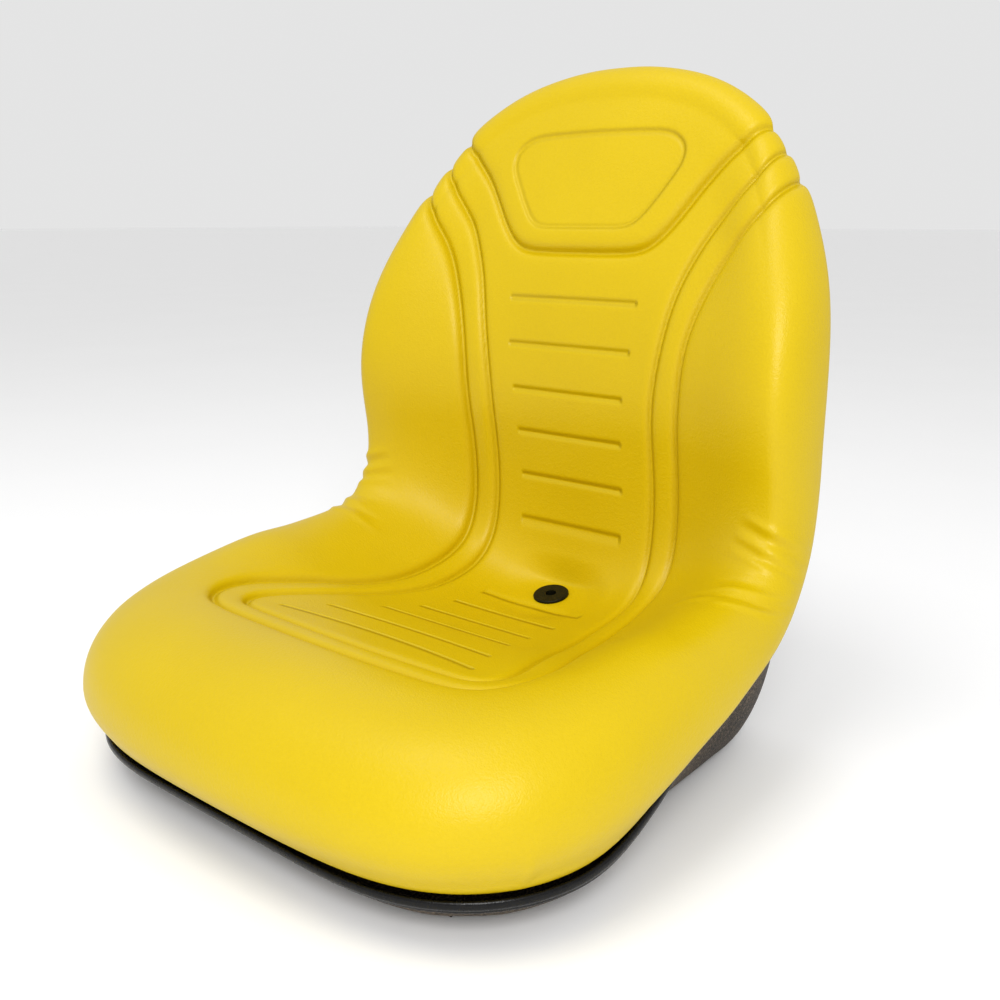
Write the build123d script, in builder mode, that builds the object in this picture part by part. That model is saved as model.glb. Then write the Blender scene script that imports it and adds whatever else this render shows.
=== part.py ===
from build123d import *
import math
import os

os.makedirs("parts", exist_ok=True)

# A high-backed bucket seat for a riding mower. A pressed steel pan carries a
# moulded foam cushion under a bonded vinyl cover, with a push-on edge trim
# round the rim, a drain through the cushion and a switch that feels the rider.
# Millimetres, Z up, the rider faces -Y. The origin is the middle of the
# mounting pattern on the underside of the pan.

# overall form
seat_half_width = 252.0      # middle to the widest bulge of the cover
front_reach = 226.0          # origin to the front of the roll
back_height = 563.0          # underside of the pan to the top of the back

# the form below is drawn at these sizes and stretched to the three above
drawn_half_width = 252.0
drawn_front_reach = 226.0
drawn_height = 563.0
stretch_x = seat_half_width / drawn_half_width
stretch_y = front_reach / drawn_front_reach
stretch_z = back_height / drawn_height

# steel pan
pan_thickness = 1.5
pad_drop = 1.2               # how far the pads under the nuts stand down
bend_start = 157.0           # where the flat floor turns up into the back
bend_radius = 75.0
back_lean = 5.0              # degrees
front_rim_y = -206.0
corner_half_flat = 110.0     # half width of the straight part of the front rim
corner_start_y = -90.0       # where the sides begin to turn into the front rim
top_rim_z = 552.0
arch_start_z = 345.0         # where the sides begin to arch over to the top
arch_half_flat = 20.0
floor_share = 0.55           # share of the way to the rim that stays flat
wall_roundness = 0.8

# cushion
cover_thickness = 1.4
skin_gap = 0.3               # glue line between the foam and the cover
trim_reach = 8.0             # how far the trim grips down the wall from the rim
trim_side_reach = 2.0        # the same seen from above, where the wall is steep
trim_front_reach = 4.5
trim_lip = 2.0               # how far the trim stands past the rim
trim_half_thickness = 3.4

# mounting to the machine
bolt_spacing_x = 285.75      # 11 1/4 inch
bolt_spacing_y = 254.0       # 10 inch
bolt_hole_radius = 4.5
nut_across_flats = 13.0
nut_height = 6.5
nut_bore_radius = 3.5
plate_length = 46.0
plate_width = 34.0
plate_thickness = 2.5
plate_corner = 6.0
pocket_gap = 3.0             # foam clearance round the nuts and the switch

# switch under the cushion
switch_y = 10.0
boss_height = 23.0
boss_base_radius = 42.0
boss_top_radius = 27.0
switch_hole_radius = 12.2

# drain
drain_y = 166.0
drain_tilt = 12.0            # degrees, the flange leans with the cushion
flange_radius = 16.5
flange_thickness = 2.4
drain_bore_radius = 5.0
grommet_barrel_radius = 9.0
grommet_barrel_length = 20.0
tube_wall = 1.2
tube_gap = 0.15

# A point of the form is given by x, by its station along the seat and by its
# depth below a line that runs across the hollow. Stations are upright planes
# under the seat, planes that fan round the line at the bend, and level planes
# up the back.
pivot_y = 20.0
pivot_z = 245.0
fan_length = 235.0


def station_of(y, z):
    """The station and depth of a point in the side view."""
    if y <= pivot_y:
        return y - pivot_y, pivot_z - z
    if z >= pivot_z:
        return fan_length + z - pivot_z, y - pivot_y
    angle = math.atan2(y - pivot_y, pivot_z - z)
    return fan_length * angle / (math.pi / 2), math.hypot(y - pivot_y, pivot_z - z)


def fan_angle(station):
    """The angle of a station's plane from upright, in radians."""
    return min(max(station / fan_length, 0), 1) * math.pi / 2


def place(x, station, depth):
    """The point at x, a station and a depth, in the seat's own frame."""
    angle = fan_angle(station)
    y = pivot_y + min(station, 0) + depth * math.sin(angle)
    z = pivot_z + max(station - fan_length, 0) - depth * math.cos(angle)
    return (x * stretch_x, y * stretch_y, z * stretch_z + pan_thickness + pad_drop)


def smooth_value(knots, at):
    """A smooth curve through (position, value) knots, without overshoot."""
    if at <= knots[0][0]:
        return knots[0][1]
    if at >= knots[-1][0]:
        return knots[-1][1]
    slopes = [
        (b[1] - a[1]) / (b[0] - a[0])
        for a, b in zip(knots, knots[1:])
    ]
    tangents = [slopes[0]]
    for before, after in zip(slopes, slopes[1:]):
        same_way = before * after > 0
        tangents.append(2 * before * after / (before + after) if same_way else 0)
    tangents.append(slopes[-1])
    i = max(k for k in range(len(slopes)) if knots[k][0] <= at)
    span = knots[i + 1][0] - knots[i][0]
    s = (at - knots[i][0]) / span
    rise = knots[i + 1][1] - knots[i][1]
    ease = s * s * (3 - 2 * s)
    return (
        knots[i][1] + rise * ease
        + span * s * (1 - s) ** 2 * tangents[i]
        - span * s * s * (1 - s) * tangents[i + 1]
    )


def guide(points):
    """Knots of half width and of depth for a guide line of (x, y, z)."""
    placed = sorted((*station_of(y, z), x) for x, y, z in points)
    widths = [(station, x) for station, depth, x in placed]
    depths = [(station, depth) for station, depth, x in placed]
    return widths, depths


# guide lines up the right-hand side, from the front to the top of the back
crest_line = guide([
    (70, -150, 133), (150, -136, 133), (190, -105, 134), (207, -60, 139),
    (212, -10, 147), (213, 50, 151), (214, 95, 153), (216, 125, 157),
    (218, 142, 170), (219, 152, 190), (219, 155, 220), (219, 149, 252),
    (218, 144, 300), (213, 152, 342), (205, 162, 371), (184, 195, 429),
    (150, 224, 487), (110, 235, 518), (40, 241, 536),
])
side_line = guide([
    (60, -225, 70), (120, -219, 71), (176, -205, 72), (212, -180, 74),
    (238, -142, 77), (250, -95, 80), (252, -40, 86), (252, 0, 93),
    (250, 50, 106), (247, 95, 117), (243, 135, 127), (239, 165, 143),
    (236, 185, 170), (235, 192, 205), (235, 195, 250), (235, 196, 300),
    (233, 200, 345), (225, 210, 384), (210, 222, 425), (191, 233, 465),
    (166, 242, 502), (130, 248, 532), (76, 250, 553), (20, 249, 561),
])
rim_line = guide([
    (239, -190, 32), (239, -93, 35), (237, -44, 48), (234, 11, 73),
    (231, 42, 87), (230, 71, 93), (228, 101, 97), (224, 140, 101),
    (220, 170, 111), (218, 200, 140), (217, 215, 175), (217, 222, 225),
    (217, 226, 295), (215, 230, 345), (215, 262, 552),
])
dish_line = guide([
    (120, -100, 131), (150, -53, 127), (135, 0, 118), (120, 50, 110),
    (112, 110, 107), (108, 150, 112), (106, 178, 125), (106, 189, 150),
    (106, 190, 200), (106, 183, 245), (106, 179, 290), (112, 181, 340),
    (128, 192, 385), (140, 205, 425), (120, 222, 480), (70, 234, 518), (30, 240, 535),
])
centre_line = guide([
    (0, -150, 133), (0, -105, 131), (0, -53, 125), (0, -18, 118),
    (0, 25, 109), (0, 60, 103), (0, 100, 97), (0, 136, 93),
    (0, 166, 95), (0, 180, 107), (0, 187, 125), (0, 190, 150),
    (0, 187, 200), (0, 183, 240), (0, 179, 281), (0, 182, 323),
    (0, 186, 365), (0, 196, 410), (0, 214, 460), (0, 228, 505), (0, 240, 536),
])


def pan_floor_depth(station):
    """Depth of the inside of the pan on the middle plane."""
    if station <= 0:
        return pivot_z
    lean = math.radians(back_lean)
    wall_y = bend_start + bend_radius * math.cos(lean)
    wall_z = bend_radius * (1 - math.sin(lean))
    angle = fan_angle(station)
    if station >= fan_length:
        height = pivot_z + station - fan_length
        return wall_y + (height - wall_z) * math.tan(lean) - pivot_y
    across, down = math.sin(angle), math.cos(angle)
    flat = pivot_z / down
    if pivot_y + flat * across <= bend_start:
        return flat
    wall = wall_y - pivot_y + (pivot_z - wall_z) * math.tan(lean)
    wall = wall / (across + down * math.tan(lean))
    if pivot_z - wall * down >= wall_z:
        return wall
    to_y = bend_start - pivot_y
    to_z = pivot_z - bend_radius
    half = across * to_y + down * to_z
    square = to_y ** 2 + to_z ** 2 - bend_radius ** 2
    return half + math.sqrt(half ** 2 - square)


def wall_rise(share):
    """How far up the wall the pan is, for a share of the way to the rim."""
    s = (share - floor_share) / (1 - floor_share)
    if s <= 0:
        return 0.0
    top = 1 - math.sqrt(1 - wall_roundness ** 2)
    if s <= 1:
        return (1 - math.sqrt(1 - (wall_roundness * s) ** 2)) / top
    slope = wall_roundness ** 2 / math.sqrt(1 - wall_roundness ** 2) / top
    return 1 + slope * 0.3 * math.tanh((s - 1) / 0.3)


def corner_share(station):
    """How far along the rounded front or top of the rim a station is."""
    corner_station = corner_start_y - pivot_y
    arch_station = fan_length + arch_start_z - pivot_z
    if station < corner_station:
        return (corner_station - station) / (corner_start_y - front_rim_y)
    if station > arch_station:
        return (station - arch_station) / (top_rim_z - arch_start_z)
    return 0.0


def flat_half_width(station):
    """Half width of the straight part of the rim outline at a station."""
    arch_station = fan_length + arch_start_z - pivot_z
    knots = [(0, corner_half_flat), (fan_length, corner_half_flat),
             (arch_station, arch_half_flat)]
    return smooth_value(knots, station)


def pan_depth(x, station):
    """Depth of the inside of the pan at x."""
    half_width = smooth_value(rim_line[0], station)
    half_flat = flat_half_width(station)
    floor = pan_floor_depth(station)
    rim_depth = smooth_value(rim_line[1], station)
    across = max(abs(x) - half_flat, 0) / (half_width - half_flat)
    share = math.hypot(across, corner_share(station))
    return floor - (floor - rim_depth) * wall_rise(share)


def rim_half_width(station):
    """Half width of the rim outline, down to nothing past its two ends."""
    share = corner_share(station)
    if share >= 1:
        return 0.0
    half_flat = flat_half_width(station)
    side = smooth_value(rim_line[0], station) - half_flat
    return half_flat + side * math.sqrt(1 - share ** 2)


# stations of the sections that the pan is drawn through
pan_stations = (
    [y - pivot_y for y in (-216, -200, -180, -155, -125, -90, -55, -20, pivot_y)]
    + [fan_length * share for share in
       (0.1, 0.19, 0.27, 0.34, 0.41, 0.48, 0.56, 0.66, 0.8)]
    + [fan_length + z - pivot_z for z in (245, 300, 350, 400, 450, 495, 530, 562)]
)
wall_shares = (0, 0.3, 0.5, 0.62, 0.72, 0.81, 0.89, 0.95, 1)
lid_depth = 50.0             # depth of the flat lid that closes a pan section


def offset_profile(profile, distance):
    """A row of (x, depth) points moved sideways, away from the hollow."""
    moved = []
    for i, (x, depth) in enumerate(profile):
        before = profile[max(i - 1, 0)]
        after = profile[min(i + 1, len(profile) - 1)]
        run, drop = after[0] - before[0], after[1] - before[1]
        length = math.hypot(run, drop)
        moved.append((x - distance * drop / length, depth + distance * run / length))
    return moved


def pan_profile(station, side_extra, outward):
    """A pan section from one rim to the other, as (x, depth) points."""
    half_width = smooth_value(rim_line[0], station)
    shares = [-share for share in reversed(wall_shares[1:])] + list(wall_shares)
    profile = [(share * half_width, pan_depth(share * half_width, station))
               for share in shares]
    profile = offset_profile(profile, outward)
    (x, depth), (next_x, next_depth) = profile[0], profile[1]
    slope = (depth - next_depth) / (x - next_x)
    across = max(side_extra / math.hypot(1, slope), (x - next_x) / 2)
    end = (x - across, depth - across * slope)
    profile[0] = end
    profile[-1] = (-end[0], end[1])
    return profile


def shared_parameters(rows, closed):
    """One set of curve parameters for rows of points, from their mean spacing."""
    totals = [0.0] * (len(rows[0]) + closed)
    for row in rows:
        loop = list(row) + [row[0]] * closed
        along = [0.0]
        for a, b in zip(loop, loop[1:]):
            along.append(along[-1] + math.dist(a, b))
        totals = [total + at / along[-1] for total, at in zip(totals, along)]
    return [total / len(rows) for total in totals]


def section_curves(rows, closed=False):
    """A smooth curve through every row, all with the same parameters."""
    parameters = shared_parameters(rows, closed)
    return [
        Edge.make_spline([Vector(*point) for point in row],
                         periodic=closed, parameters=parameters)
        for row in rows
    ]


def pan_rows(side_extra, outward):
    """The points of every pan section, moved outward from the inside face."""
    return [
        [place(x, station, depth)
         for x, depth in pan_profile(station, side_extra, outward)]
        for station in pan_stations
    ]


def closed_loft(first_curves, second_curves):
    """A solid through sections, each closed by a curve on either side."""
    sections = []
    for first, second in zip(first_curves, second_curves):
        with BuildLine() as outline:
            add(first)
            add(second)
            Line(first @ 1, second @ 1)
            Line(first @ 0, second @ 0)
        sections.append(Face(outline.wire()))
    with BuildPart() as body:
        loft(sections)
    return body.part


def pan_body(side_extra, outward):
    """Everything over a surface parallel to the pan, as a solid."""
    rows = pan_rows(side_extra, outward)
    lids = []
    for row, station in zip(rows, pan_stations):
        depth = min(lid_depth, pan_profile(station, side_extra, outward)[0][1] - 5)
        left = place(row[0][0] / stretch_x, station, depth)
        right = place(row[-1][0] / stretch_x, station, depth)
        lids.append(Edge.make_line(left, right))
    return closed_loft(section_curves(rows), lids)


def pan_sheet(side_extra, outward, inward):
    """A sheet along the pan, outward and inward of its inside face."""
    return closed_loft(section_curves(pan_rows(side_extra, outward)),
                       section_curves(pan_rows(side_extra, -inward)))


def rim_prism(side_grow, front_grow):
    """An upright prism with the rounded front corners of the rim outline."""
    half_flat = corner_half_flat * stretch_x
    side = smooth_value(rim_line[0], corner_start_y - pivot_y) * stretch_x + side_grow
    start = corner_start_y * stretch_y
    front = front_rim_y * stretch_y - front_grow
    far = seat_half_width * 2
    with BuildPart() as prism:
        with BuildSketch(Plane.XY.offset(-far)):
            with BuildLine():
                Line((-half_flat, front), (half_flat, front))
                EllipticalCenterArc(
                    (half_flat, start), side - half_flat, start - front,
                    start_angle=-90, arc_size=90)
                Polyline((side, start), (side, far), (-side, far), (-side, start))
                EllipticalCenterArc(
                    (-half_flat, start), side - half_flat, start - front,
                    start_angle=180, arc_size=90)
            make_face()
        extrude(amount=far + 2 * back_height)
    return prism.part


def arch_prism(side_grow, top_grow):
    """A level prism with the arched top of the rim outline."""
    half_flat = arch_half_flat * stretch_x
    arch_station = fan_length + arch_start_z - pivot_z
    side = smooth_value(rim_line[0], arch_station) * stretch_x + side_grow
    start = arch_start_z * stretch_z + pan_thickness + pad_drop
    top = top_rim_z * stretch_z + pan_thickness + pad_drop + top_grow
    far = seat_half_width * 2
    with BuildPart() as prism:
        with BuildSketch(Plane.XZ.offset(-far)):
            with BuildLine():
                Polyline((-side, start), (-far, start), (-far, -far), (far, -far),
                         (far, start), (side, start))
                EllipticalCenterArc(
                    (half_flat, start), side - half_flat, top - start,
                    start_angle=0, arc_size=90)
                Line((half_flat, top), (-half_flat, top))
                EllipticalCenterArc(
                    (-half_flat, start), side - half_flat, top - start,
                    start_angle=90, arc_size=90)
            make_face()
        extrude(amount=3 * far)
    return prism.part


def within_rim(body, side_grow, front_grow, top_grow):
    """A body cut to the rim outline, grown at the sides, front and top."""
    with BuildPart() as cut:
        add(body)
        add(rim_prism(side_grow, front_grow), mode=Mode.INTERSECT)
        add(arch_prism(top_grow, top_grow), mode=Mode.INTERSECT)
    return cut.part


# the cushion's outline in the side view: where the front roll and the top roll
# begin, where they stand furthest out, and where they tuck in at the rim
front_crest = station_of(-150, 133)
front_edge = station_of(-front_reach / stretch_y, 70)
front_tuck = station_of(front_rim_y, 40)
top_crest = station_of(241, 536)
top_edge = station_of(249, drawn_height)
top_tuck = station_of(254, top_rim_z - 4)
roll_steps = (8, 22, 37, 53, 71, 90)
section_points = 44          # evenly spaced round every cushion section
cushion_gap = 3.0            # between the cover and the curved part of the pan
tuck_plies = 3               # the cover is folded where it tucks under a roll
rim_gap = 5.5                # room for the trim between the cushion and the pan


def quarter(share):
    """Height of a quarter circle of radius 1 at a share of its base."""
    return math.sqrt(max(1 - share ** 2, 0))


def face_depth(station, inset):
    """Depth of the middle of the cushion's face at a station."""
    for crest, edge, way in ((front_crest, front_edge, 1), (top_crest, top_edge, -1)):
        run = (crest[0] - station) * way
        if run > 0:
            share = run / ((crest[0] - edge[0]) * way - inset)
            drop = edge[1] - crest[1] - inset
            return crest[1] + inset + drop * (1 - quarter(min(share, 1)))
    return smooth_value(centre_line[1], station) + inset


def tuck_depth(station, inset):
    """Depth of the underside of a roll that stands out past the rim."""
    for tuck, edge, way in ((front_tuck, front_edge, 1), (top_tuck, top_edge, -1)):
        run = (tuck[0] - station) * way
        if run > 0:
            share = run / ((tuck[0] - edge[0]) * way - inset)
            drop = tuck[1] - edge[1] - tuck_plies * inset
            return edge[1] + drop * quarter(min(share, 1))
    return None


def above_pan(x, station, gap):
    """The point a gap above the pan's inside face, square to the face."""
    rise = (pan_depth(x + 1, station) - pan_depth(x - 1, station)) / 2
    length = math.hypot(rise, 1)
    return x + gap * rise / length, pan_depth(x, station) - gap / length


def cushion_profile(station, inset):
    """Half of a cushion section, from the middle of its face to underneath."""
    push = inset if station < 0 else -inset
    side_x = smooth_value(side_line[0], station - push) - inset
    side_depth = smooth_value(side_line[1], station)
    face = face_depth(station, inset)
    crest_station = min(max(station, front_crest[0]), top_crest[0])
    crest_x = smooth_value(crest_line[0], crest_station) - inset / 2
    crest_depth = smooth_value(crest_line[1], station) + inset
    dish_x = min(smooth_value(dish_line[0], station), crest_x * 0.75)
    dish_depth = face + (smooth_value(dish_line[1], station) + inset - face) * 0.9
    if crest_station != station:
        side_at_crest = smooth_value(side_line[0], crest_station)
        crest_x = crest_x * side_x / side_at_crest
        crest_depth = face
        dish_x = dish_x * side_x / side_at_crest
        dish_depth = face
    slope = ((dish_x + crest_x) / 2, (dish_depth + crest_depth) / 2)
    half = [(0.0, face), (dish_x, dish_depth), slope, (crest_x, crest_depth)]
    for angle in (30, 60):
        across = math.sin(math.radians(angle))
        down = 1 - math.cos(math.radians(angle))
        half.append((crest_x + (side_x - crest_x) * across,
                     crest_depth + (side_depth - crest_depth) * down))
    half.append((side_x, side_depth))
    under = tuck_depth(station, inset)
    if under is not None:
        for angle in (75, 60, 45, 30, 15, 0):
            across = math.sin(math.radians(angle))
            down = math.cos(math.radians(angle))
            half.append((side_x * across, side_depth + (under - side_depth) * down))
        return half
    rim_x = rim_half_width(station)
    for share in (1, 0.93, 0.84, 0.65, 0.4, 0):
        near_rim = math.hypot(share, corner_share(station)) > 0.9
        gap = rim_gap if near_rim else cushion_gap
        half.append(above_pan(share * rim_x, station, gap + inset))
    return half


def roll_stations(crest, edge, inset):
    """Stations round a roll, evenly spaced in angle from its edge to its crest."""
    start = edge[0] + math.copysign(inset, crest[0] - edge[0])
    run = crest[0] - start
    return [start + run * (1 - math.cos(math.radians(angle))) for angle in roll_steps]


def cushion_stations(inset):
    """Stations of the sections that a cushion body is drawn through."""
    seat = [y - pivot_y for y in (-120, -90, -50, -15, pivot_y)]
    bend = [fan_length * share for share in (0.15, 0.28, 0.4, 0.52, 0.66, 0.82)]
    back = [fan_length + z - pivot_z for z in (245, 290, 335, 380, 425, 465, 497, 518)]
    return (roll_stations(front_crest, front_edge, inset) + seat + bend + back
            + roll_stations(top_crest, top_edge, inset)[::-1])


def cushion_body(inset):
    """The cushion inside its cover's face, set in all round by inset."""
    rows = []
    for station in cushion_stations(inset):
        half = cushion_profile(station, inset)
        points = half + [(-x, depth) for x, depth in reversed(half[1:-1])]
        rough = Edge.make_spline([Vector(*place(x, station, depth)) for x, depth in points],
                                 periodic=True)
        step = rough.length / section_points
        rows.append([
            tuple(rough.position_at(step * i, position_mode=PositionMode.LENGTH))
            for i in range(section_points)
        ])
    sections = [Face(Wire([curve])) for curve in section_curves(rows, closed=True)]
    with BuildPart() as body:
        loft(sections)
    return body.part


# ---- seat pan: one pressed steel bucket, floor, sides and back shell ----

bolt_places = [
    (x * bolt_spacing_x / 2, y * bolt_spacing_y / 2) for x in (-1, 1) for y in (-1, 1)
]
pad_margin = 5.0
pad_width = plate_width + 2 * pad_margin
pad_length = plate_length + 2 * pad_margin
pan_shell = within_rim(pan_sheet(0, pan_thickness, 0), 0, 0, 0)
drain_station = station_of(drain_y, 95)
drain_plane = Plane(
    origin=place(0, *drain_station),
    x_dir=(1, 0, 0),
    z_dir=(0, -math.sin(math.radians(drain_tilt)), math.cos(math.radians(drain_tilt))))
drain_length = drain_plane.origin.Z / math.cos(math.radians(drain_tilt))
tube_inner_radius = grommet_barrel_radius + tube_gap
tube_outer_radius = tube_inner_radius + tube_wall
drain_hole_radius = tube_outer_radius + 0.8
boss_centre = (0, switch_y)
boss_underside = boss_height
boss_top = boss_height + pan_thickness

with BuildPart() as seat_pan:
    add(pan_shell)
    # flat pads under the nuts, and a flat round the switch boss
    with BuildSketch(Plane.XY.offset(-pad_margin)):
        with Locations(*bolt_places):
            Rectangle(pad_width, pad_length)
        with Locations(boss_centre):
            Circle(boss_base_radius + pad_margin)
    extrude(amount=3 * pad_margin, mode=Mode.SUBTRACT)
    with BuildSketch(Plane.XY):
        with Locations(*bolt_places):
            Rectangle(pad_width, pad_length)
        with Locations(boss_centre):
            Circle(boss_base_radius + pad_margin)
            Circle(boss_base_radius - pan_thickness, mode=Mode.SUBTRACT)
    extrude(amount=pan_thickness)
    with BuildSketch():
        with Locations(*bolt_places):
            Rectangle(pad_width, pad_length)
            Rectangle(pad_width - 2 * pan_thickness, pad_length - 2 * pan_thickness,
                      mode=Mode.SUBTRACT)
        with Locations(boss_centre):
            Circle(boss_base_radius + pad_margin)
            Circle(boss_base_radius + pad_margin - pan_thickness, mode=Mode.SUBTRACT)
    extrude(amount=pan_thickness + pad_drop)
    # the boss lifts the switch clear of what is under the seat
    with BuildSketch(Plane.YZ):
        with BuildLine():
            Polyline(
                (switch_y + boss_base_radius, 0),
                (switch_y + boss_base_radius, pan_thickness),
                (switch_y + boss_top_radius, boss_top),
                (switch_y + switch_hole_radius, boss_top),
                (switch_y + switch_hole_radius, boss_underside),
                (switch_y + boss_top_radius - pan_thickness / 2, boss_underside),
                (switch_y + boss_base_radius - 1.4 * pan_thickness, 0),
                close=True)
        make_face()
    revolve(axis=Axis((0, switch_y, 0), (0, 0, 1)))
    with BuildSketch(Plane.XY.offset(-pad_margin)):
        with Locations(*bolt_places):
            Circle(bolt_hole_radius)
    extrude(amount=3 * pad_margin, mode=Mode.SUBTRACT)
    with BuildSketch(drain_plane.offset(-2 * drain_length)):
        Circle(drain_hole_radius)
    extrude(amount=1.5 * drain_length, mode=Mode.SUBTRACT)
seat_pan.part.label = "seat_pan"
export_step(seat_pan.part, "parts/seat_pan.step")

# ---- mounting plates and weld nuts, on the floor inside the pan ----

plate_top = pan_thickness + plate_thickness
with BuildPart() as mounting_plates:
    with BuildSketch(Plane.XY.offset(pan_thickness)):
        with Locations(*bolt_places):
            RectangleRounded(plate_width, plate_length, plate_corner)
            Circle(bolt_hole_radius, mode=Mode.SUBTRACT)
    extrude(amount=plate_thickness)
mounting_plates.part.label = "mounting_plates"
export_step(mounting_plates.part, "parts/mounting_plates.step")

nut_corner_radius = nut_across_flats / math.sqrt(3)
with BuildPart() as weld_nuts:
    with BuildSketch(Plane.XY.offset(plate_top)):
        with Locations(*bolt_places):
            RegularPolygon(nut_corner_radius, 6)
            Circle(nut_bore_radius, mode=Mode.SUBTRACT)
    extrude(amount=nut_height)
weld_nuts.part.label = "weld_nuts"
export_step(weld_nuts.part, "parts/weld_nuts.step")

# ---- edge trim: a push-on channel round the whole rim ----

trim_sheet = pan_sheet(trim_lip, pan_thickness / 2 + trim_half_thickness,
                       trim_half_thickness - pan_thickness / 2)
trim_core = within_rim(pan_body(-trim_reach, 4 * trim_half_thickness),
                       -trim_side_reach, -trim_front_reach, -trim_reach)
with BuildPart() as edge_trim:
    add(within_rim(trim_sheet, trim_lip, trim_lip, trim_lip))
    add(trim_core, mode=Mode.SUBTRACT)
    add(pan_shell, mode=Mode.SUBTRACT)
edge_trim.part.label = "edge_trim"
export_step(edge_trim.part, "parts/edge_trim.step")

# ---- switch under the cushion: it feels the rider's weight ----

switch_gap = 0.35
seal_thickness = 1.0
flange_reach = 15.0
switch_flange = 2.0
body_radius = switch_hole_radius - switch_gap
body_bottom = 8.0
body_floor = 3.0
chamber_radius = 8.2
guide_radius = 6.4
turret_radius = 8.6
turret_height = 4.0
collar_radius = chamber_radius - switch_gap
head_radius = guide_radius - switch_gap
plunger_travel = 4.0
head_above = 5.0             # plunger above the turret at rest
collar_thickness = 2.0
contact_thickness = 0.8
stem_radius = 2.6
spring_wire_radius = 0.35
spring_radius = 4.4
post_width = 2.4
post_gap = 0.3
blade_width = 6.3
blade_thickness = 0.8
blade_drop = 6.5
puck_radius = 17.0
puck_thickness = 4.0
puck_gap = 0.8
nut_ring_width = 4.0
nut_ring_height = 2.8

seal_top = boss_top + seal_thickness
flange_top = seal_top + switch_flange
turret_top = flange_top + turret_height
chamber_floor = body_bottom + body_floor
chamber_top = flange_top - 1.6
collar_top = chamber_top - switch_gap / 2
collar_bottom = collar_top - collar_thickness
contact_bottom = collar_bottom - contact_thickness
plunger_top = turret_top + head_above
switch_axis = Axis((0, switch_y, 0), (0, 0, 1))

with BuildPart() as switch_body:
    with BuildSketch(Plane.XY.offset(body_bottom)):
        with Locations(boss_centre):
            Circle(body_radius)
    extrude(amount=seal_top - body_bottom)
    with BuildSketch(Plane.XY.offset(seal_top)):
        with Locations(boss_centre):
            Circle(flange_reach)
    extrude(amount=switch_flange)
    with BuildSketch(Plane.XY.offset(flange_top)):
        with Locations(boss_centre):
            Circle(turret_radius)
    extrude(amount=turret_height)
    chamfer(edges().group_by(Axis.Z)[-1], 0.8)
    with BuildSketch(Plane.XY.offset(chamber_floor)):
        with Locations(boss_centre):
            Circle(chamber_radius)
    extrude(amount=chamber_top - chamber_floor, mode=Mode.SUBTRACT)
    with BuildSketch(Plane.XY.offset(chamber_top)):
        with Locations(boss_centre):
            Circle(guide_radius)
    extrude(amount=turret_top - chamber_top, mode=Mode.SUBTRACT)
    # slots for the terminal blades
    with BuildSketch(Plane.XY.offset(body_bottom)):
        with Locations((-chamber_radius + blade_thickness, switch_y),
                       (chamber_radius - blade_thickness, switch_y)):
            Rectangle(blade_thickness, blade_width)
    extrude(amount=body_floor, mode=Mode.SUBTRACT)
switch_body.part.label = "switch_body"
export_step(switch_body.part, "parts/switch_body.step")

with BuildPart() as switch_terminals:
    with BuildSketch(Plane.XY.offset(body_bottom - blade_drop)):
        with Locations((-chamber_radius + blade_thickness, switch_y),
                       (chamber_radius - blade_thickness, switch_y)):
            Rectangle(blade_thickness, blade_width)
    extrude(amount=blade_drop + body_floor)
    with BuildSketch(Plane.XY.offset(chamber_floor)):
        with Locations((-chamber_radius + blade_thickness, switch_y),
                       (chamber_radius - blade_thickness, switch_y)):
            Rectangle(blade_thickness, post_width)
    extrude(amount=contact_bottom - plunger_travel - post_gap - chamber_floor)
switch_terminals.part.label = "switch_terminals"
export_step(switch_terminals.part, "parts/switch_terminals.step")

with BuildPart() as switch_seal:
    with BuildSketch(Plane.XY.offset(boss_top)):
        with Locations(boss_centre):
            Circle(flange_reach)
            Circle(switch_hole_radius, mode=Mode.SUBTRACT)
    extrude(amount=seal_thickness)
switch_seal.part.label = "switch_seal"
export_step(switch_seal.part, "parts/switch_seal.step")

with BuildPart() as switch_nut:
    with BuildSketch(Plane.XY.offset(boss_underside - nut_ring_height)):
        with Locations(boss_centre):
            RegularPolygon(body_radius + nut_ring_width, 8)
            Circle(body_radius + 0.1, mode=Mode.SUBTRACT)
    extrude(amount=nut_ring_height)
switch_nut.part.label = "switch_nut"
export_step(switch_nut.part, "parts/switch_nut.step")

with BuildPart() as switch_plunger:
    with BuildSketch(Plane.XY.offset(collar_bottom)):
        with Locations(boss_centre):
            Circle(collar_radius)
    extrude(amount=collar_thickness)
    with BuildSketch(Plane.XY.offset(collar_top)):
        with Locations(boss_centre):
            Circle(head_radius)
    extrude(amount=plunger_top - collar_top)
    fillet(edges().group_by(Axis.Z)[-1], 1.5)
    with BuildSketch(Plane.XY.offset(contact_bottom - 1.5)):
        with Locations(boss_centre):
            Circle(stem_radius)
    extrude(amount=collar_bottom - contact_bottom + 1.5)
switch_plunger.part.label = "switch_plunger"
export_step(switch_plunger.part, "parts/switch_plunger.step")

with BuildPart() as switch_contact:
    with BuildSketch(Plane.XY.offset(contact_bottom)):
        with Locations(boss_centre):
            SlotOverall(2 * collar_radius, 2 * stem_radius + 3)
            Circle(stem_radius, mode=Mode.SUBTRACT)
    extrude(amount=contact_thickness)
switch_contact.part.label = "switch_contact"
export_step(switch_contact.part, "parts/switch_contact.step")

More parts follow.
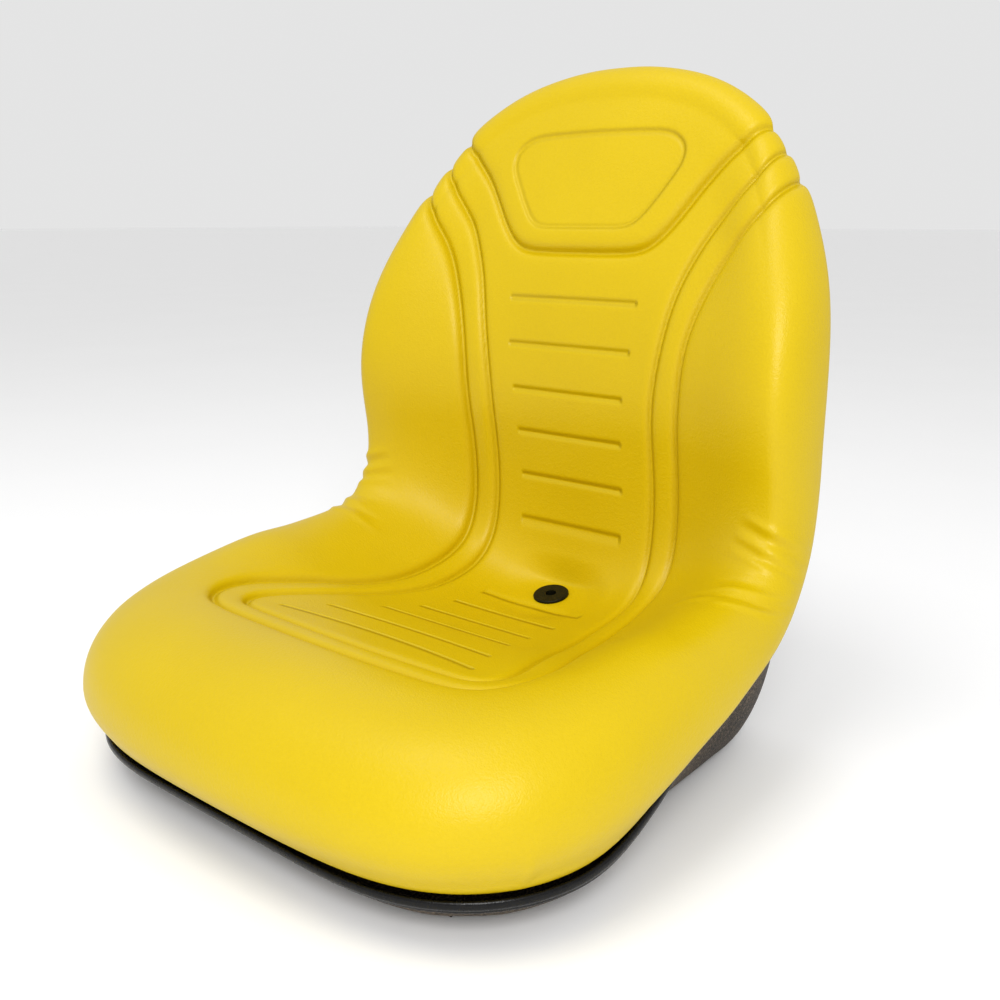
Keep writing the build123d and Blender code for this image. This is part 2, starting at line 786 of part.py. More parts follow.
spring_height = contact_bottom - chamber_floor - 2 * spring_wire_radius - 0.1
with BuildPart() as switch_spring:
    with BuildLine():
        coil = Helix(pitch=spring_height / 5, height=spring_height, radius=spring_radius,
                     center=(0, switch_y, chamber_floor + spring_wire_radius + 0.05))
    with BuildSketch(Plane(origin=coil @ 0, z_dir=coil % 0)):
        Circle(spring_wire_radius)
    sweep(is_frenet=True)
switch_spring.part.label = "switch_spring"
export_step(switch_spring.part, "parts/switch_spring.step")

puck_bottom = plunger_top + puck_gap
with BuildPart() as switch_puck:
    with BuildSketch(Plane.XY.offset(puck_bottom)):
        with Locations(boss_centre):
            Circle(puck_radius)
    extrude(amount=puck_thickness)
    fillet(edges().group_by(Axis.Z)[0], 1.0)
switch_puck.part.label = "switch_puck"
export_step(switch_puck.part, "parts/switch_puck.step")

# ---- drain: a grommet in the cushion and a tube down to the pan ----

flange_sink = 1.0            # how far the flange beds into the cover
tube_start = -flange_sink - 0.2
with BuildPart() as drain_grommet:
    with BuildSketch(drain_plane.offset(-flange_sink)):
        Circle(flange_radius)
    extrude(amount=flange_thickness)
    chamfer(faces().filter_by(GeomType.PLANE).sort_by(Axis.Z)[-1].edges(), 0.7)
    with BuildSketch(drain_plane.offset(-flange_sink - grommet_barrel_length)):
        Circle(grommet_barrel_radius)
    extrude(amount=grommet_barrel_length)
    with BuildSketch(drain_plane.offset(-2 * grommet_barrel_length)):
        Circle(drain_bore_radius)
    extrude(amount=4 * grommet_barrel_length, mode=Mode.SUBTRACT)
drain_grommet.part.label = "drain_grommet"
export_step(drain_grommet.part, "parts/drain_grommet.step")

with BuildPart() as drain_tube:
    with BuildSketch(drain_plane.offset(-1.2 * drain_length)):
        Circle(tube_outer_radius)
        Circle(tube_inner_radius, mode=Mode.SUBTRACT)
    extrude(amount=1.2 * drain_length + tube_start)
    with BuildSketch(Plane.XY.offset(0.6)):
        Rectangle(2 * seat_half_width, 4 * seat_half_width)
    extrude(amount=-drain_length, mode=Mode.SUBTRACT)
drain_tube.part.label = "drain_tube"
export_step(drain_tube.part, "parts/drain_tube.step")

# ---- foam and cover: one moulded bun bonded under a formed vinyl skin ----

tube_clearance = 0.3
foot_half_x = 170.0          # the foam's foot on the flat floor of the pan
foot_front_y = -123.0
foot_back_y = 148.0
back_foot_half_x = 150.0     # and its foot against the flat of the back
back_foot_low_z = 130.0
back_foot_high_z = 345.0
foot_gap = 0.6               # glue line under the feet
foot_depth = cushion_gap + cover_thickness + skin_gap + 2

# the glue face on the back of the pan
low_station = station_of(bend_start + bend_radius, pivot_z + 5)[0]
high_station = low_station + 100
face_low = Vector(*place(0, low_station, pan_floor_depth(low_station)))
face_high = Vector(*place(0, high_station, pan_floor_depth(high_station)))
face_up = (face_high - face_low).normalized()
back_face = Plane(origin=face_low, x_dir=(1, 0, 0), z_dir=(0, face_up.Z, -face_up.Y))
back_foot_width = 2 * back_foot_half_x * stretch_x
back_foot_length = (back_foot_high_z - back_foot_low_z) * stretch_z
back_foot_middle = (back_foot_high_z + back_foot_low_z) / 2 * stretch_z - face_low.Z


def foot_blocks(grow, gap):
    """Blocks on the flat floor and the flat back of the pan, gap clear of it."""
    with BuildPart() as blocks:
        with BuildSketch(Plane.XY.offset(pan_thickness + pad_drop + gap)):
            with Locations((0, (foot_front_y + foot_back_y) / 2 * stretch_y)):
                Rectangle(2 * foot_half_x * stretch_x + 2 * grow,
                          (foot_back_y - foot_front_y) * stretch_y + 2 * grow)
        extrude(amount=foot_depth - gap)
        with BuildSketch(back_face.offset(-gap)):
            with Locations((0, -back_foot_middle)):
                Rectangle(back_foot_width + 2 * grow, back_foot_length + 2 * grow)
        extrude(amount=gap - foot_depth)
    return blocks.part


def cushion_pockets():
    """Room in the cushion for what stands up from the pan, and for the drain."""
    with BuildPart() as pockets:
        with BuildSketch():
            with Locations(*bolt_places):
                Rectangle(plate_width + 2 * pocket_gap, plate_length + 2 * pocket_gap)
        extrude(amount=plate_top + pocket_gap)
        with BuildSketch():
            with Locations(*bolt_places):
                Circle(nut_corner_radius + pocket_gap)
        extrude(amount=plate_top + nut_height + pocket_gap)
        with BuildSketch():
            with Locations(boss_centre):
                Circle(boss_base_radius + pocket_gap)
        extrude(amount=boss_top + pocket_gap)
        with BuildSketch():
            with Locations(boss_centre):
                Circle(puck_radius + switch_gap)
        extrude(amount=puck_bottom + puck_thickness)
        with BuildSketch(drain_plane.offset(-flange_sink)):
            Circle(flange_radius + tube_clearance)
        extrude(amount=drain_length / 2)
        with BuildSketch(drain_plane.offset(-1.2 * drain_length)):
            Circle(tube_outer_radius + tube_clearance)
        extrude(amount=1.3 * drain_length)
    return pockets.part


foam_body = cushion_body(cover_thickness + skin_gap)
foam_feet = foot_blocks(-1, foot_gap)
cover_outside = cushion_body(0)
cover_inside = cushion_body(cover_thickness)
cover_opening = foot_blocks(0, 0)
pockets = cushion_pockets()

with BuildPart() as foam_cushion:
    add(foam_body)
    add(foam_feet)
    add(pockets, mode=Mode.SUBTRACT)
foam_cushion.part.label = "foam_cushion"
export_step(foam_cushion.part, "parts/foam_cushion.step")

with BuildPart() as vinyl_cover:
    add(cover_outside)
    add(cover_inside, mode=Mode.SUBTRACT)
    add(cover_opening, mode=Mode.SUBTRACT)
    add(pockets, mode=Mode.SUBTRACT)
vinyl_cover.part.label = "vinyl_cover"
export_step(vinyl_cover.part, "parts/vinyl_cover.step")
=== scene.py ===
import bpy
import math
import numpy as np
from mathutils import Matrix, Vector


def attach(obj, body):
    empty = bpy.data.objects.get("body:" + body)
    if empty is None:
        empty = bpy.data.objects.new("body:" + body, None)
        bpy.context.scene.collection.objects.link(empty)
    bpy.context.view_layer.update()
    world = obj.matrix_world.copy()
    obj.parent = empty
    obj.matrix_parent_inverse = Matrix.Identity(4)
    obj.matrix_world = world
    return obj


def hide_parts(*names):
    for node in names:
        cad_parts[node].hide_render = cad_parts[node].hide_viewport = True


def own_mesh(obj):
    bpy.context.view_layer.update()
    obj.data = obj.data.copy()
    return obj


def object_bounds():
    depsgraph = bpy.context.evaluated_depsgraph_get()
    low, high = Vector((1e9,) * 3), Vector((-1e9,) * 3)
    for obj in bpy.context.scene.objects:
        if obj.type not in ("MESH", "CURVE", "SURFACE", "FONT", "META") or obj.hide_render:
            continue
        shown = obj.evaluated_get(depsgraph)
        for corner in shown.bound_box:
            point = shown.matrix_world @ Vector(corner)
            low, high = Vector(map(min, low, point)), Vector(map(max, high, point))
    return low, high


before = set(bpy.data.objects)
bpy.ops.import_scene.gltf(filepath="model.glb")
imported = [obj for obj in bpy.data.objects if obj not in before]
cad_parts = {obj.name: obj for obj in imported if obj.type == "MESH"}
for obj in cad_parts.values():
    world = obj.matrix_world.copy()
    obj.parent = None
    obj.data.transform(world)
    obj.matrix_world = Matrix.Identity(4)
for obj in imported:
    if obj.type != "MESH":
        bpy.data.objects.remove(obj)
cad_low, cad_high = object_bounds()

# ---- the cushion's form ----
# A one-piece moulded foam bun under a vacuum-formed vinyl skin. Its form is
# drawn with three loops round it: the crest where the face turns over, the
# line where it stands furthest out, and the tuck where it meets the edge trim.

pivot_y = 0.020              # the line that the bend between seat and back fans round
pivot_z = 0.2477
fan_length = 0.235
floor_lift = 0.0027          # the pan's floor over the underside of its pads


def bend_place(x, station, depth):
    """Points from their place across, along and deep in the hollow of the seat."""
    angle = np.clip(station / fan_length, 0, 1) * math.pi / 2
    y = pivot_y + np.minimum(station, 0) + depth * np.sin(angle)
    z = pivot_z + np.maximum(station - fan_length, 0) - depth * np.cos(angle)
    return np.stack([x + 0 * y, y, z], axis=-1)


def bend_station(y, z):
    """The station and depth of a point in the side view."""
    if y <= pivot_y:
        return y - pivot_y, pivot_z - z
    if z >= pivot_z:
        return fan_length + z - pivot_z, y - pivot_y
    angle = math.atan2(y - pivot_y, pivot_z - z)
    return fan_length * angle / (math.pi / 2), math.hypot(y - pivot_y, pivot_z - z)


def in_bend(points):
    """(x, y, z) in millimetres as rows of x, station and depth in metres."""
    rows = []
    for x, y, z in points:
        station, depth = bend_station(y / 1000, z / 1000 + floor_lift)
        rows.append((x / 1000, station, depth))
    return np.array(rows)


def eased(points, closed, per_span=24):
    """A smooth curve that rounds off a row of points, as a bent batten would."""
    points = np.asarray(points, float)
    if not closed:
        points = np.vstack([2 * points[0] - points[1], points, 2 * points[-1] - points[-2]])
        spans = len(points) - 3
    else:
        spans = len(points)
        points = np.vstack([points[-1:], points, points[:2]])
    s = (np.arange(spans * per_span + (not closed)) / per_span)
    i = np.minimum(s.astype(int), spans - 1)
    u = (s - i)[:, None]
    return ((1 - u) ** 3 * points[i] + (3 * u ** 3 - 6 * u ** 2 + 4) * points[i + 1]
            + (-3 * u ** 3 + 3 * u ** 2 + 3 * u + 1) * points[i + 2]
            + u ** 3 * points[i + 3]) / 6


# crest, outermost line and tuck, matched row by row from the middle of the
# front, up the side, to the middle of the top
loop_rows = [
    ((0, -150, 133), (0, -226, 70), (0, -206, 32)),
    ((50, -150, 133), (65, -225, 70), (62, -206, 32)),
    ((95, -147.5, 133), (120, -219, 71), (115, -206, 32)),
    ((132, -140.5, 133), (170, -207, 72), (158, -197.5, 32)),
    ((162, -129, 133), (206, -185, 74), (193, -179, 32)),
    ((184, -111, 134), (231, -155, 76), (220, -151, 33)),
    ((198, -86, 136.5), (245, -118, 78.5), (234, -119, 34)),
    ((206, -62, 139), (251, -80, 81.5), (239, -85, 36)),
    ((211, -25, 144), (252.5, -30, 87.5), (237, -32, 51)),
    ((213, 20, 149), (252.5, 18, 98), (234, 20, 76)),
    ((214, 70, 152.3), (249, 70, 111), (230, 71, 93)),
    ((215.5, 112, 155), (246, 112, 121), (226.5, 112, 98.5)),
    ((217, 135, 163), (241, 146, 134), (223, 145, 102)),
    ((218.5, 147, 178), (237, 174, 156), (220, 172, 113)),
    ((219, 154, 197), (235.5, 189, 182), (218, 200, 140)),
    ((219, 154, 225), (235, 194, 215), (217, 215, 180)),
    ((219, 148, 262), (235, 195, 260), (217, 224, 255)),
    ((218, 144, 300), (235, 196, 300), (216, 227, 300)),
    ((213, 152, 342), (233, 200, 345), (215, 230, 345)),
    ((205, 162, 371), (226.5, 208, 380), (212, 236, 381)),
    ((195, 176, 400), (216, 217, 411), (203, 241, 416)),
    ((181, 193, 430), (200, 227.5, 445), (189, 246, 448)),
    ((164.5, 210, 463), (179, 237, 484), (169, 251, 478)),
    ((146, 223.5, 490), (155, 245, 514), (145, 255, 504)),
    ((120, 232, 512), (124, 251.5, 536), (117, 258, 524)),
    ((88, 238, 527), (92, 256, 550), (87, 260, 539)),
    ((56, 241, 534), (58, 259, 558), (54, 261.5, 549)),
    ((27, 241.5, 536), (28, 260, 562), (25, 262, 552)),
    ((0, 241.5, 536.5), (0, 260, 562.5), (0, 262, 552)),
]


def whole_loop(column):
    """One loop all the way round, from its right-hand half."""
    half = in_bend([row[column] for row in loop_rows])
    other = half[1:-1][::-1] * (-1, 1, 1)
    return eased(np.vstack([half, other]), True)


crest_loop = whole_loop(0)
side_loop = whole_loop(1)
rim_loop = whole_loop(2)
tuck_rise = 0.0052           # the skin turns in this far above the pan's rim
tuck_loop = rim_loop - (0, 0, tuck_rise)
loop_steps = len(crest_loop)
steps_per_row = loop_steps // (2 * (len(loop_rows) - 1))


def level_curve(points):
    """A guide up the face as rows of station, x and depth."""
    curve = eased(in_bend(points), False)
    return curve[np.argsort(curve[:, 1])]


centre_guide = level_curve([
    (0, -150, 133), (0, -105, 131), (0, -53, 125), (0, -18, 118), (0, 25, 109),
    (0, 60, 103), (0, 100, 97), (0, 136, 93), (0, 166, 95), (0, 180, 107),
    (0, 187, 125), (0, 190, 150), (0, 187, 200), (0, 183, 240), (0, 179, 281),
    (0, 182, 323), (0, 186, 365), (0, 196, 410), (0, 214, 460), (0, 228, 505),
    (0, 241, 537)])
dish_guide = level_curve([
    (60, -150, 133), (120, -100, 131), (150, -53, 127), (135, 0, 118), (120, 50, 110),
    (112, 110, 107), (108, 150, 112), (106, 178, 125), (106, 189, 150),
    (106, 190, 200), (106, 183, 245), (106, 179, 290), (112, 181, 340),
    (128, 192, 385), (140, 205, 425), (115, 221, 480), (70, 235, 520), (30, 241, 537)])
crest_guide = level_curve([row[0] for row in loop_rows])


def face_depth(x, station):
    """How deep the face lies in the hollow."""
    middle = np.interp(station, centre_guide[:, 1], centre_guide[:, 2])
    dish = np.interp(station, dish_guide[:, 1], dish_guide[:, 2])
    crest = np.interp(station, crest_guide[:, 1], crest_guide[:, 2])
    crest_x = np.interp(station, crest_guide[:, 1], crest_guide[:, 0]).clip(0.03)
    dish_x = np.interp(station, dish_guide[:, 1], dish_guide[:, 0])
    dish_x = np.minimum(dish_x, 0.72 * crest_x)
    across = np.abs(x)
    inner = (dish - middle) / dish_x
    outer = (crest - dish) / (crest_x - dish_x)
    lean = np.where(inner * outer > 0, 2 * inner * outer / (inner + outer + 1e-12), 0)
    a = (across / dish_x).clip(0, 1)
    b = ((across - dish_x) / (crest_x - dish_x)).clip(0, 1)
    low = middle + (dish - middle) * a * a * (3 - 2 * a) - dish_x * a * a * (1 - a) * lean
    high = (dish + (crest - dish) * b * b * (3 - 2 * b)
            + (crest_x - dish_x) * b * (1 - b) ** 2 * lean)
    return np.where(across < dish_x, low, high)


# ---- cushion: the mesh ----
# The face is a net of lines laid between the two sides, the front and the top,
# and rings of the same net carry on round the roll, into the tuck and underneath.

face_across = 230
face_along = 410
upper_rings = 30
lower_rings = 16
under_rings = 5
rings = upper_rings + lower_rings + under_rings
corner_front = 5 * steps_per_row
corner_top = 22 * steps_per_row

crest_3d = bend_place(*crest_loop.T)
gaps = np.linalg.norm(np.roll(crest_3d, -1, axis=0) - crest_3d, axis=1)
loop_along = np.concatenate([[0], np.cumsum(gaps)])


def loop_places(first, last, shares):
    """Places in a loop, evenly spaced along the crest between two of its points."""
    start, end = loop_along[first % loop_steps], loop_along[last % loop_steps]
    if last < first or first < 0:
        start -= loop_along[-1] if first < 0 else 0
    return np.interp((start + (end - start) * shares) % loop_along[-1],
                     loop_along, np.arange(loop_steps + 1))


def at_place(loop, places):
    """Points of a loop at places between its steps."""
    low = np.floor(places).astype(int) % loop_steps
    share = (places - np.floor(places))[..., None]
    return loop[low] * (1 - share) + loop[(low + 1) % loop_steps] * share


columns = face_across + 2 * rings + 1
lines = face_along + 2 * rings + 1
line, column = np.meshgrid(np.arange(lines), np.arange(columns), indexing="ij")
over_x = np.maximum(rings - column, column - rings - face_across).clip(0)
over_y = np.maximum(rings - line, line - rings - face_along).clip(0)
ring = np.maximum(over_x, over_y)
on_side = over_x >= over_y
share_up = ((line - rings + ring) / (face_along + 2 * ring)).clip(0, 1)
share_across = ((column - rings + ring) / (face_across + 2 * ring)).clip(0, 1)

right_places = loop_places(corner_front, corner_top, share_up)
left_places = (loop_steps - right_places) % loop_steps
front_places = loop_places(-corner_front, corner_front, share_across)
top_places = loop_places(corner_top, loop_steps - corner_top, 1 - share_across)
places = np.where(
    on_side, np.where(column > columns / 2, right_places, left_places),
    np.where(line < lines / 2, front_places, top_places))

crest = at_place(crest_loop, places)
side = at_place(side_loop, places)
tuck = at_place(tuck_loop, places)

# the face: every point is laid between the four stretches of the crest
right = at_place(crest_loop, loop_places(corner_front, corner_top, share_up))[..., :2]
left = right * (-1, 1)
front = at_place(crest_loop, front_places)[..., :2]
top = at_place(crest_loop, top_places)[..., :2]
low_corner = crest_loop[corner_front, :2]
high_corner = crest_loop[corner_top, :2]
v = share_up[..., None]
u = share_across[..., None]
flip = np.array((-1, 1))
face_xs = ((1 - v) * front + v * top + (1 - u) * left + u * right
           - (1 - v) * ((1 - u) * low_corner * flip + u * low_corner)
           - v * ((1 - u) * high_corner * flip + u * high_corner))
face = np.concatenate(
    [face_xs, face_depth(face_xs[..., 0], face_xs[..., 1])[..., None]], axis=-1)

# the roll: a quarter turn from the crest out to the side, and one under to the tuck
turn = (ring / upper_rings).clip(0, 1) * math.pi / 2
under_turn = ((ring - upper_rings) / lower_rings).clip(0, 1) * math.pi / 2
roll_down = np.stack([
    crest[..., 0] + (side[..., 0] - crest[..., 0]) * np.sin(turn),
    crest[..., 1] + (side[..., 1] - crest[..., 1]) * np.sin(turn),
    crest[..., 2] + (side[..., 2] - crest[..., 2]) * (1 - np.cos(turn))], axis=-1)
roll_under = np.stack([
    tuck[..., 0] + (side[..., 0] - tuck[..., 0]) * np.cos(under_turn),
    tuck[..., 1] + (side[..., 1] - tuck[..., 1]) * np.cos(under_turn),
    side[..., 2] + (tuck[..., 2] - side[..., 2]) * np.sin(under_turn)], axis=-1)

# underneath, the rings run in over the pan and close along its middle
under_share = ((ring - upper_rings - lower_rings) / under_rings).clip(0, 1)
floor_station = np.array([-0.25, -0.05, 0.08, 0.13, 0.19, 0.26, 0.54])
floor_depth = np.array([0.199, 0.199, 0.205, 0.225, 0.212, 0.204, 0.228])
middle_station = tuck[..., 1].clip(-0.19, 0.50)
middle_depth = np.interp(middle_station, floor_station, floor_depth)
in_share = under_share
down_share = 1 - (1 - under_share) ** 3
underneath = np.stack([
    tuck[..., 0] * (1 - in_share),
    tuck[..., 1] + (middle_station - tuck[..., 1]) * in_share,
    tuck[..., 2] + (middle_depth - tuck[..., 2]) * down_share], axis=-1)

net = np.where((ring == 0)[..., None], face, roll_down)
net = np.where((ring > upper_rings)[..., None], roll_under, net)
net = np.where((ring > upper_rings + lower_rings)[..., None], underneath, net)

bpy.ops.object.select_all(action="DESELECT")
bpy.ops.mesh.primitive_grid_add(
    x_subdivisions=columns - 1, y_subdivisions=lines - 1, size=1)
cushion = bpy.context.object
cushion.name = "cushion_cover"
cushion.data.name = "cushion_cover"
points = bend_place(net[..., 0], net[..., 1], net[..., 2]).reshape(-1, 3)
cushion.data.vertices.foreach_set("co", points.ravel())
cushion.data.update()

# the moulded form has no hard turns: the face and the roll are eased together
soft = (ring < upper_rings + lower_rings).ravel()
bpy.ops.object.mode_set(mode="EDIT")
bpy.ops.mesh.select_all(action="DESELECT")
bpy.ops.object.mode_set(mode="OBJECT")
cushion.data.vertices.foreach_set("select", soft)
bpy.ops.object.mode_set(mode="EDIT")
bpy.ops.mesh.vertices_smooth(factor=0.5, repeat=28)
bpy.ops.object.mode_set(mode="OBJECT")
points = np.zeros(len(soft) * 3)
cushion.data.vertices.foreach_get("co", points)
points = points.reshape(lines, columns, 3)

# how far each point is along and across, carried on over the roll as if unrolled
outward = side[..., :2] - crest[..., :2]
outward = outward / (np.linalg.norm(outward, axis=-1, keepdims=True) + 1e-9)
roll_length = (np.linalg.norm(side - crest, axis=-1) * 1.1)[..., None]
flat = np.where((ring == 0)[..., None], face_xs,
                crest[..., :2] + outward * roll_length * (ring[..., None] / upper_rings))
flat_x, flat_s = flat[..., 0], flat[..., 1]

# ---- cushion: moulded lines ----
# The bolsters and the head roll swell up to a crease, and the panel sinks.
# Each line is a row of (y, z, half width), and runs out over the roll.


def flat_line(points):
    """(y, z, half width) in millimetres as smooth flat points, one side."""
    return eased(in_bend([(x, y, z) for y, z, x in points])[:, :2], False, 6)


def both_sides(half):
    """A line that runs down one side, across the middle and up the other."""
    return np.vstack([half, half[::-1] * (-1, 1)])


inner_line = both_sides(flat_line([
    (252, 540, 215), (236, 506, 190), (219, 473, 167), (206, 451, 146),
    (200, 425, 128), (194, 406, 118), (189, 383, 108), (184, 360, 102), (181, 333, 97),
    (179, 305, 92.5), (181, 267, 89), (186, 227, 89), (190, 187, 89), (188, 146, 89),
    (184, 137, 89), (169, 120, 89), (144, 105, 90), (123, 100, 91), (106, 99, 92),
    (84, 101, 96), (51, 106, 103), (17, 112, 112), (-10, 117, 121), (-36, 123, 130),
    (-54, 126, 135), (-68, 128, 136), (-80, 129.5, 132), (-88, 130.5, 122),
    (-90, 131, 105), (-91, 131, 60), (-92, 131, 20), (-92, 131, 0)]))
outer_line = both_sides(flat_line([
    (245, 515, 232), (228, 482, 210), (208, 448, 182), (192, 422, 159.5),
    (186, 396, 144), (183, 373, 134), (180, 350, 126), (177, 327, 121),
    (177, 303, 118.6), (180, 264, 116.6), (187, 224, 115.5), (191, 183, 115),
    (189, 152, 115), (184, 143, 115), (168, 125.5, 114.4), (140, 111, 115.4),
    (116, 107, 117), (97, 106, 119), (82, 106.5, 121), (56, 110, 127),
    (26, 114, 135.5), (-9, 121, 149), (-35, 126, 157.5), (-52, 128.6, 161.5),
    (-74, 130, 161.5), (-95, 130.7, 156), (-108, 130.9, 142), (-114, 131, 120),
    (-116, 131, 60), (-117, 131, 20), (-117, 131, 0)]))
head_line = both_sides(flat_line([
    (262, 560, 200), (248, 528, 176), (234.5, 501, 151), (225.6, 489, 137),
    (220.7, 478, 126), (217, 467, 117), (212.6, 455, 108), (204.6, 434.5, 94),
    (201, 424, 85), (200, 416, 77), (199, 409.5, 66), (197.5, 407, 52), (197, 406.5, 25),
    (197, 406.5, 0)]))
panel_line = both_sides(flat_line([
    (229, 508.5, 0), (229, 508, 40), (227, 507, 66), (225.5, 504, 77), (225.4, 498, 86),
    (223, 490, 90.5), (218, 479, 89), (215, 470, 83.4), (210, 456, 74.5), (203, 440, 63),
    (200, 431, 54), (196, 428, 43), (195.5, 428, 25), (195.5, 428, 0)]))


def signed_gap(line_points, closed):
    """Distance from every point of the net to a line, above nought outside it."""
    flat_points = np.stack([flat_x.ravel(), flat_s.ravel()], axis=-1)
    loop = np.vstack([line_points, line_points[:1]]) if closed else line_points
    nearest = np.full(len(flat_points), 9.0)
    inside = np.zeros(len(flat_points), bool)
    for a, b in zip(loop[:-1], loop[1:]):
        run = b - a
        share = ((flat_points - a) @ run / (run @ run + 1e-15)).clip(0, 1)
        gap = np.linalg.norm(flat_points - a - share[:, None] * run, axis=1)
        nearest = np.minimum(nearest, gap)
    ring_points = loop if closed else np.vstack(
        [loop, [[loop[-1][0], 2.0], [loop[0][0], 2.0], loop[0]]])
    px, py = flat_points.T
    for a, b in zip(ring_points[:-1], ring_points[1:]):
        crosses = (a[1] > py) != (b[1] > py)
        at = a[0] + (py - a[1]) * (b[0] - a[0]) / (b[1] - a[1] + 1e-15)
        inside ^= crosses & (px < at)
    return np.where(inside, -nearest, nearest).reshape(lines, columns)


inner_gap = signed_gap(inner_line, False)
outer_gap = signed_gap(outer_line, False)
head_gap = signed_gap(head_line, False)
panel_gap = signed_gap(panel_line, True)


def swell(gap, height, reach):
    """A rounded swell that starts at a line and levels off."""
    return height * (1 - np.exp(-np.maximum(gap, 0) / reach))


def shoulder(gap):
    """The padding's soft roll beside a crease, fullest a centimetre away."""
    away = np.abs(gap) / 0.0095
    return 0.0013 * away * np.exp(1 - away)


bolster_rise = 0.0060
band_rise = 0.0024
head_rise = 0.0052
panel_sink = 0.0022
face_sink = 0.0038           # the middle of the face lies this far under the drawn form
crease_width = 0.0040
over_roll = (ring / upper_rings).clip(0, 1)
raised = swell(outer_gap, bolster_rise, 0.0105) + shoulder(outer_gap)
raised = raised + swell(inner_gap, band_rise, 0.0055) + shoulder(inner_gap)
raised = raised + swell(-head_gap, head_rise, 0.0085) + shoulder(head_gap)
raised = raised - panel_sink / (1 + np.exp(panel_gap / 0.0014))
for gap, depth in ((inner_gap, 0.0023), (outer_gap, 0.0027), (head_gap, 0.0024)):
    pressed = depth * np.exp(-(gap / crease_width) ** 2)
    raised = raised - pressed * (1 - 0.6 * over_roll)
raised = raised - face_sink * (1 - 0.4 * over_roll)

# pulls in the skin where the back's sides turn down into the seat
# Each is (x, station) of its two ends, how high it stands and how wide it is
pulls = [
    (212, 100, 251, 121, 1.7, 3.6), (207, 111, 248, 127, -1.5, 3.2),
    (200, 121, 246, 133, 1.5, 3.6), (196, 133, 243, 139, -0.9, 4.0),
    (205, 194, 256, 175, 1.7, 4.0), (201, 186, 255, 166, -1.4, 3.6),
    (198, 178, 254, 157, 1.4, 4.0), (196, 171, 252, 150, -1.1, 3.6),
    (194, 163, 250, 145, 1.0, 3.8), (170, 98, 209, 105, 1.0, 4.5),
    (178, 112, 208, 114, -0.9, 4.0)]
for x0, s0, x1, s1, height, width in pulls:
    a = np.array((x0, s0)) / 1000
    run = np.array((x1, s1)) / 1000 - a
    for way in (1, -1):
        across = np.stack([flat_x * way - a[0], flat_s - a[1]], axis=-1)
        share = (across @ run / (run @ run)).clip(0, 1)
        gap = np.linalg.norm(across - share[..., None] * run, axis=-1)
        taper = np.sin(math.pi * (0.12 + 0.76 * share))
        raised = raised + height / 1000 * taper * np.exp(-(gap * 1000 / width) ** 2)

lower = ((ring - upper_rings) / (0.6 * lower_rings)).clip(0, 1)
raised = raised * (1 - lower * lower * (3 - 2 * lower))
raised = np.where(ring > upper_rings + lower_rings - 3, 0, raised)
normals = np.zeros(len(soft) * 3)
cushion.data.vertices.foreach_get("normal", normals)
normals = normals.reshape(lines, columns, 3)
points = points + normals * raised[..., None]

# the skin is drawn flat under the drain's flange, and down into its hole
drain_middle = np.array((0.0, 0.166, 0.0977))
drain_tilt = math.radians(12)
drain_axis = np.array((0.0, -math.sin(drain_tilt), math.cos(drain_tilt)))
flange_under = -0.0013
hole_depth = 0.022
from_drain = points - drain_middle
up_axis = from_drain @ drain_axis
off_axis = np.linalg.norm(from_drain - up_axis[..., None] * drain_axis, axis=-1)
near = 1 - ((off_axis - 0.016) / 0.045).clip(0, 1)
near = near * (1 - ((np.abs(up_axis) - 0.012) / 0.014).clip(0, 1))
near = near * near * (3 - 2 * near) * (ring == 0)
hole = 1 - ((off_axis - 0.0062) / 0.003).clip(0, 1)
wanted = flange_under - hole_depth * hole
points = points + drain_axis * ((wanted - up_axis) * near)[..., None]
cushion.data.vertices.foreach_set("co", points.ravel())

# the pressed grooves across the back and the seat, counted along the middle
groove_rows = [
    (-53, 126.5, 107), (-18, 119, 90), (25, 110, 72), (60, 105, 63), (100, 99, 58),
    (136, 99, 56), (188, 155, 58.3), (185, 198.5, 58.4), (182, 240, 59.4),
    (177, 281, 62), (180, 323, 68), (183, 365, 70.5)]
groove_flat = in_bend([(half, y, z) for y, z, half in groove_rows])
groove_count = np.arange(len(groove_rows)).astype(float)
groove_pitch = 0.042
bow = np.where(flat_s < 0.15, 0.008 * (flat_x / 0.09) ** 2, 0)
groove_phase = np.interp(flat_s + bow, groove_flat[:, 1], groove_count, left=-0.5, right=11.5)
past_top = flat_s > groove_flat[-1, 1]
before_front = flat_s + bow < groove_flat[0, 1]
groove_phase = np.where(
    past_top, 11 + (flat_s - groove_flat[-1, 1]) / groove_pitch, groove_phase)
groove_phase = np.where(
    before_front, (flat_s + bow - groove_flat[0, 1]) / groove_pitch, groove_phase)
groove_half = np.interp(groove_phase, groove_count, groove_flat[:, 0])
groove_end = np.abs(flat_x) - groove_half
groove_end = np.where((groove_phase > 11.4) | (groove_phase < -0.4), 0.05, groove_end)
groove_end = np.where((groove_phase > 5.4) & (groove_phase < 5.6), 0.05, groove_end)

for name, values in (("inner_gap", inner_gap), ("outer_gap", outer_gap),
                     ("head_gap", head_gap), ("panel_gap", panel_gap),
                     ("groove_phase", groove_phase), ("groove_end", groove_end)):
    layer = cushion.data.attributes.new(name, "FLOAT", "POINT")
    layer.data.foreach_set("value", values.ravel().astype(np.float32))

bpy.ops.object.mode_set(mode="EDIT")
bpy.ops.mesh.select_all(action="SELECT")
bpy.ops.mesh.remove_doubles(threshold=0.0002)
bpy.ops.mesh.dissolve_degenerate(threshold=0.00005)
bpy.ops.mesh.normals_make_consistent(inside=False)
bpy.ops.object.mode_set(mode="OBJECT")
bpy.ops.object.shade_smooth()


